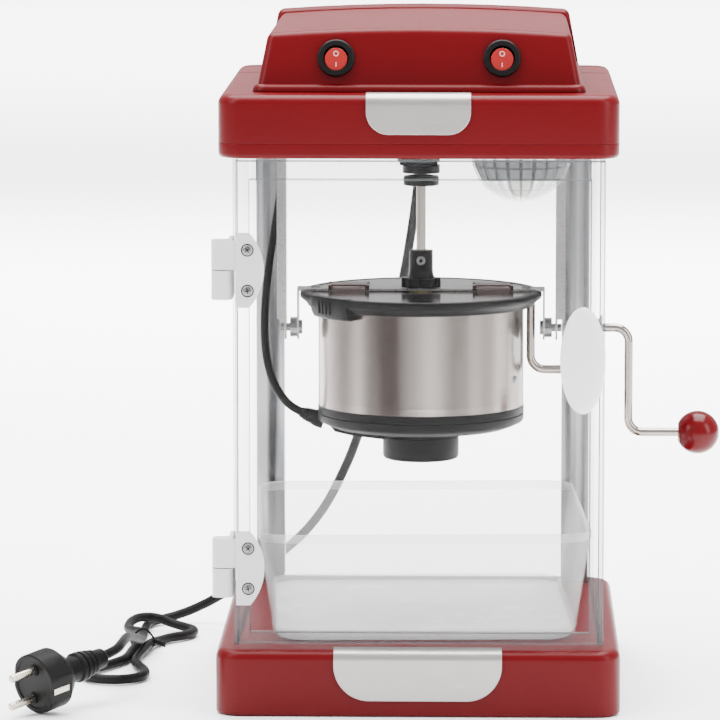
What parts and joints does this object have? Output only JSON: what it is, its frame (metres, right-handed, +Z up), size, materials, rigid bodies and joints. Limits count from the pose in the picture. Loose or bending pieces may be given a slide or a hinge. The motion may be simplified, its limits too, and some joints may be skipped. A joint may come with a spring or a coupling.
{
  "type": "popcorn maker",
  "caption": "Counter-top popcorn machine with a clear cabinet, hinged front door, tilting kettle with stirrer, warming lamp, clear tray and mains lead.",
  "frame": {"origin": "on the counter under the middle of the base", "axes": "+X to the right of someone facing the door, +Y to the back, +Z up; the door faces -Y"},
  "size_m": [0.4449, 0.358, 0.4264],
  "materials": {
    "base_housing": "gloss",
    "base_plate": "matte",
    "base_screws": "bright",
    "feet": "matte",
    "base_badge": "satin",
    "side_panel_left": "clear",
    "side_panel_right": "clear",
    "rear_panel": "clear",
    "rear_posts": "satin",
    "ceiling_plate": "satin",
    "hangers": "satin",
    "crank_bush": "satin",
    "lamp_holder": "satin",
    "lamp_bulb": "clear",
    "lamp_dome": "ribbed",
    "motor_neck": "matte",
    "gearbox": "satin",
    "stir_motor": "satin",
    "canopy_ring": "gloss",
    "canopy_housing": "gloss",
    "canopy_badge": "satin",
    "hood": "gloss",
    "hood_rear_cover": "gloss",
    "switch_bezels": "satin",
    "hinge_brackets": "satin",
    "hinge_pins": "bright",
    "kettle_cord": "matte",
    "mains_relief": "matte",
    "mains_cord": "matte",
    "mains_plug": "satin",
    "plug_pins": "nickel plated",
    "cord_tie": "matte",
    "motor_dog": "matte",
    "rocker_left": "gloss",
    "rocker_right": "gloss",
    "door_panel": "clear",
    "hinge_leaves": "satin",
    "leaf_screws": "bright",
    "door_grip": "gloss",
    "kettle_pot": "polished",
    "heater_plate": "cast",
    "kettle_rim": "satin",
    "rim_latch": "satin",
    "kettle_base_cover": "satin",
    "connector_housing": "satin",
    "cross_bar": "satin",
    "cross_bar_screws": "bright",
    "shaft_bush": "satin",
    "pivot_pins": "bright",
    "flap_clips": "satin",
    "crank": "polished",
    "crank_ball": "gloss",
    "kettle_boot": "matte",
    "drive_shaft": "bright",
    "stir_hub": "satin",
    "set_screw": "bright",
    "stir_arm": "bright",
    "flap_front": "polished",
    "flap_rear": "polished",
    "popcorn_tray": "clear"
  },
  "bodies": {
    "frame": {"base_housing": "base_housing", "base_plate": "base_plate", "base_screws": "base_screws", "feet": "feet", "base_badge": "base_badge", "side_panel_left": "side_panel_left", "side_panel_right": "side_panel_right", "rear_panel": "rear_panel", "rear_posts": "rear_posts", "ceiling_plate": "ceiling_plate", "hangers": "hangers", "crank_bush": "crank_bush", "lamp_holder": "lamp_holder", "lamp_bulb": "lamp_bulb", "lamp_dome": "lamp_dome", "motor_neck": "motor_neck", "gearbox": "gearbox", "stir_motor": "stir_motor", "canopy_ring": "canopy_ring", "canopy_housing": "canopy_housing", "canopy_badge": "canopy_badge", "hood": "hood", "hood_rear_cover": "hood_rear_cover", "switch_bezels": "switch_bezels", "hinge_brackets": "hinge_brackets", "hinge_pins": "hinge_pins", "kettle_cord": "kettle_cord", "mains_relief": "mains_relief", "mains_cord": "mains_cord", "mains_plug": "mains_plug", "plug_pins": "plug_pins", "cord_tie": "cord_tie"},
    "motor_output": {"motor_dog": "motor_dog"},
    "rocker_left": {"rocker_left": "rocker_left"},
    "rocker_right": {"rocker_right": "rocker_right"},
    "door": {"door_panel": "door_panel", "hinge_leaves": "hinge_leaves", "leaf_screws": "leaf_screws", "door_grip": "door_grip"},
    "kettle": {"kettle_pot": "kettle_pot", "heater_plate": "heater_plate", "kettle_rim": "kettle_rim", "rim_latch": "rim_latch", "kettle_base_cover": "kettle_base_cover", "connector_housing": "connector_housing", "cross_bar": "cross_bar", "cross_bar_screws": "cross_bar_screws", "shaft_bush": "shaft_bush", "pivot_pins": "pivot_pins", "flap_clips": "flap_clips", "crank": "crank", "crank_ball": "crank_ball", "kettle_boot": "kettle_boot"},
    "stirrer": {"drive_shaft": "drive_shaft", "stir_hub": "stir_hub", "set_screw": "set_screw", "stir_arm": "stir_arm"},
    "flap_front": {"flap_front": "flap_front"},
    "flap_rear": {"flap_rear": "flap_rear"},
    "tray": {"popcorn_tray": "popcorn_tray"}
  },
  "joints": [
    {"name": "door_hinge", "type": "hinge", "parent": "frame", "child": "door", "pos_m": [-0.121, -0.124, 0.2], "axis": [0, 0, -1], "range_deg": [0, 110]},
    {"name": "kettle_tilt", "type": "hinge", "parent": "frame", "child": "kettle", "pos_m": [0, 0, 0.226], "axis": [1, 0, 0], "range_deg": [0, 95]},
    {"name": "flap_front_hinge", "type": "hinge", "parent": "kettle", "child": "flap_front", "pos_m": [0, -0.0105, 0.2516], "axis": [-1, 0, 0], "range_deg": [0, 80]},
    {"name": "flap_rear_hinge", "type": "hinge", "parent": "kettle", "child": "flap_rear", "pos_m": [0, 0.0105, 0.2516], "axis": [1, 0, 0], "range_deg": [0, 80]},
    {"name": "stirrer_spin", "type": "hinge", "parent": "kettle", "child": "stirrer", "pos_m": [0, 0, 0.25], "axis": [0, 0, 1], "continuous": true},
    {"name": "motor_spin", "type": "hinge", "parent": "frame", "child": "motor_output", "pos_m": [0, 0, 0.335], "axis": [0, 0, 1], "continuous": true},
    {"name": "rocker_left_press", "type": "hinge", "parent": "frame", "child": "rocker_left", "pos_m": [-0.051, -0.10735, 0.40494], "axis": [-1, 0, 0], "range_deg": [0, 14]},
    {"name": "rocker_right_press", "type": "hinge", "parent": "frame", "child": "rocker_right", "pos_m": [0.051, -0.10735, 0.40494], "axis": [-1, 0, 0], "range_deg": [0, 14]},
    {"name": "tray_lift", "type": "slide", "parent": "frame", "child": "tray", "axis": [0, 0, 1], "range_m": [0, 0.025]}
  ],
  "couplings": [
    {"joint": "motor_spin", "follows": "stirrer_spin", "ratio": 1}
  ]
}
